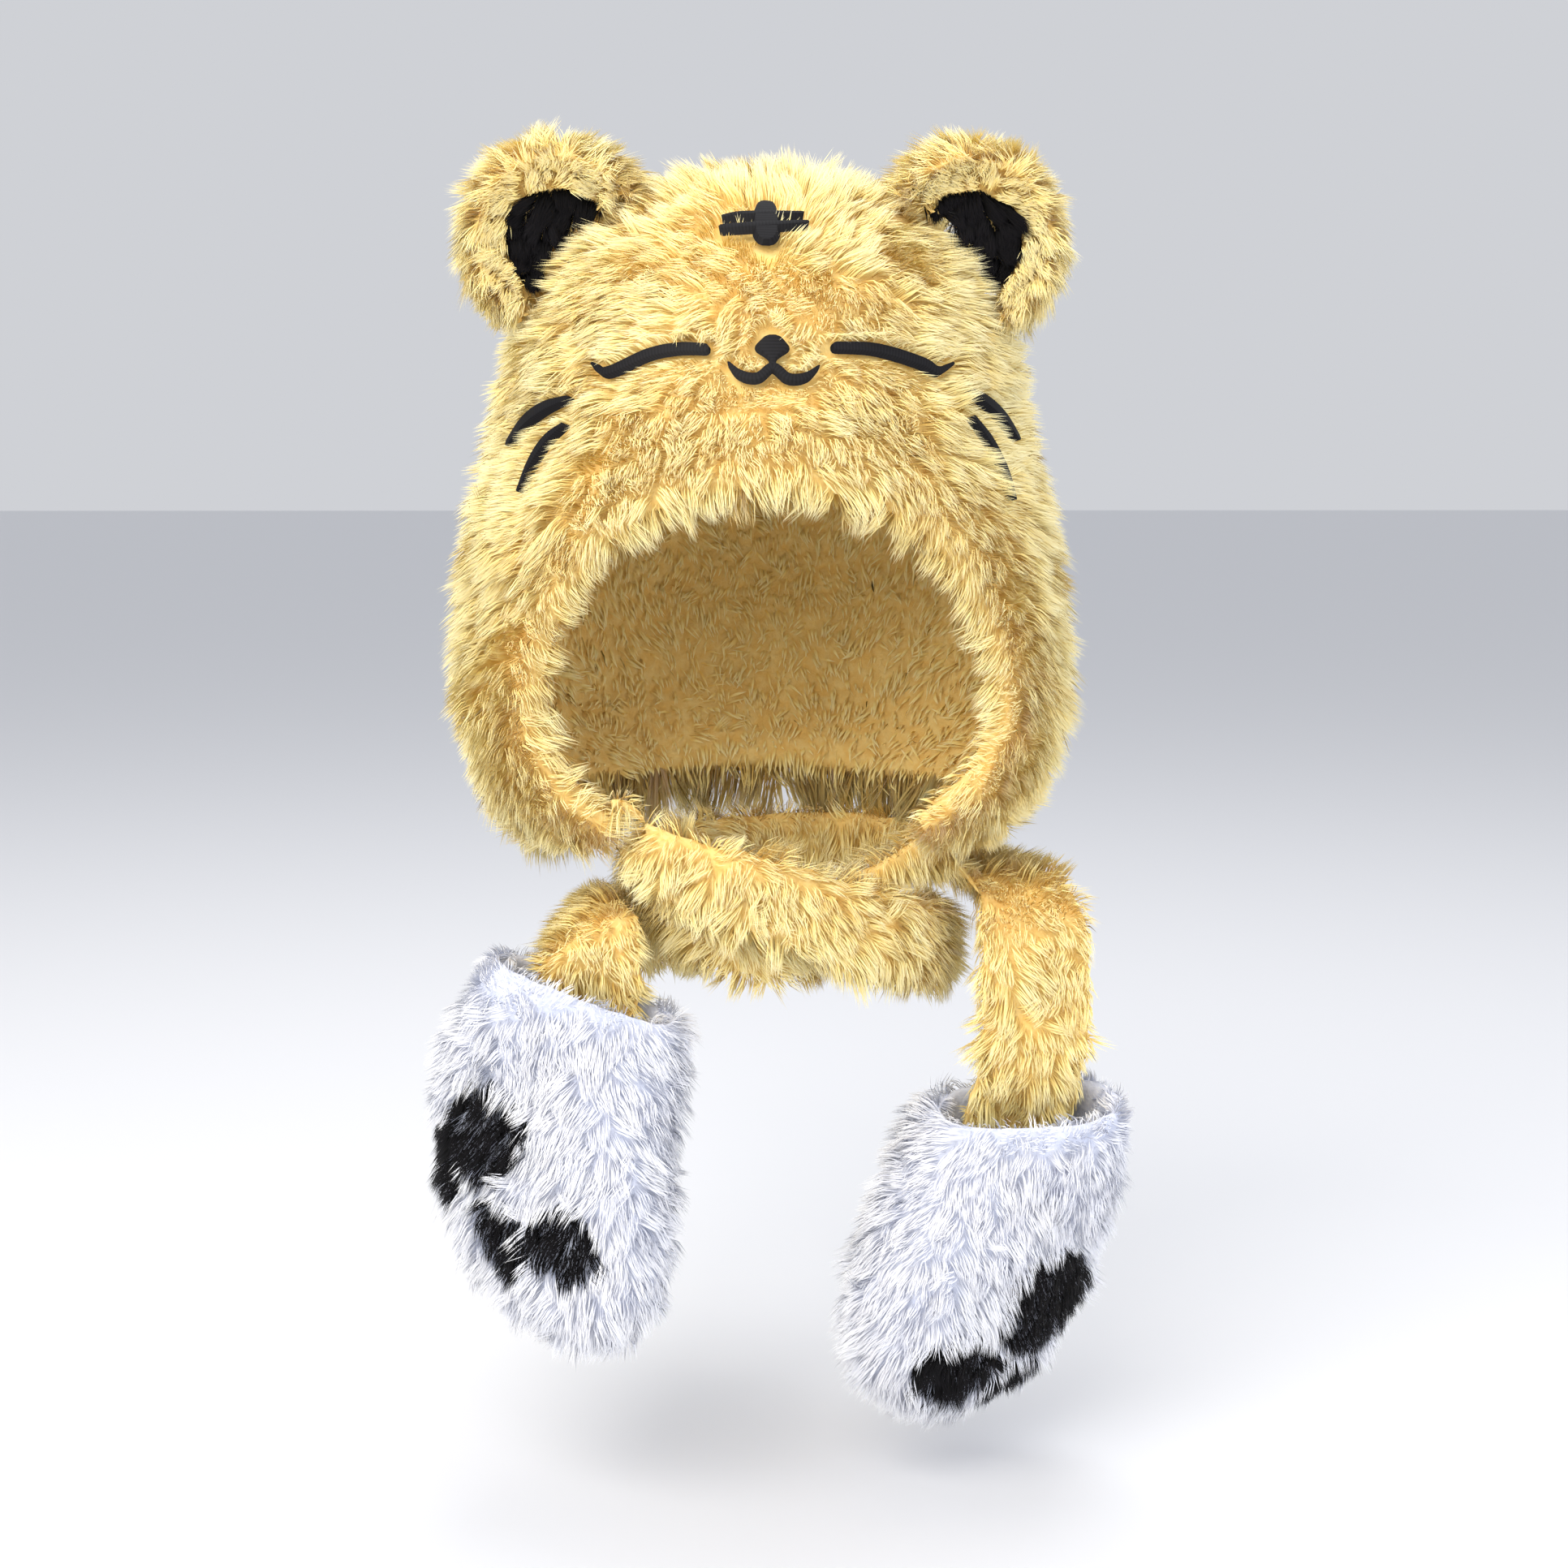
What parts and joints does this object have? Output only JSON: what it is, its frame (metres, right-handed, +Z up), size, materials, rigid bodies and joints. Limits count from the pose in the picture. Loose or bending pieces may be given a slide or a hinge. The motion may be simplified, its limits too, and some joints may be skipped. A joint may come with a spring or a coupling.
{
  "type": "animal hood scarf",
  "caption": "Plush animal hood with round ears and an embroidered sleeping face, running on into a wrapped scarf that ends in paw mitts.",
  "frame": {"origin": "inside of the crown, where a head carries the hood", "axes": "+Z up, the face looks along -Y, +X to the viewer's right"},
  "size_m": [0.3706, 0.2984, 0.6797],
  "materials": {
    "yellow_plush": "deep soft pile in curled tufts, pale tips and amber roots",
    "white_plush": "deep soft pile, cool white",
    "black_plush": "deep soft pile, black",
    "black_thread": "satin stitch embroidery"
  },
  "bodies": {
    "root": {"hood_shell": "yellow_plush", "ear_left": "yellow_plush", "ear_right": "yellow_plush", "ear_lining_left": "black_plush", "ear_lining_right": "black_plush", "eye_left": "black_thread", "eye_right": "black_thread", "nose_mouth": "black_thread", "forehead_mark": "black_thread", "cheek_stripe_left_upper": "black_thread", "cheek_stripe_left_lower": "black_thread", "cheek_stripe_right_upper": "black_thread", "cheek_stripe_right_lower": "black_thread", "scarf_left": "yellow_plush", "scarf_right": "yellow_plush", "mitt_left": "white_plush", "mitt_right": "white_plush", "paw_pad_left": "black_plush", "toe_pad_left_1": "black_plush", "toe_pad_left_2": "black_plush", "toe_pad_left_3": "black_plush", "paw_pad_right": "black_plush", "toe_pad_right_1": "black_plush", "toe_pad_right_2": "black_plush", "toe_pad_right_3": "black_plush"}
  },
  "joints": []
}
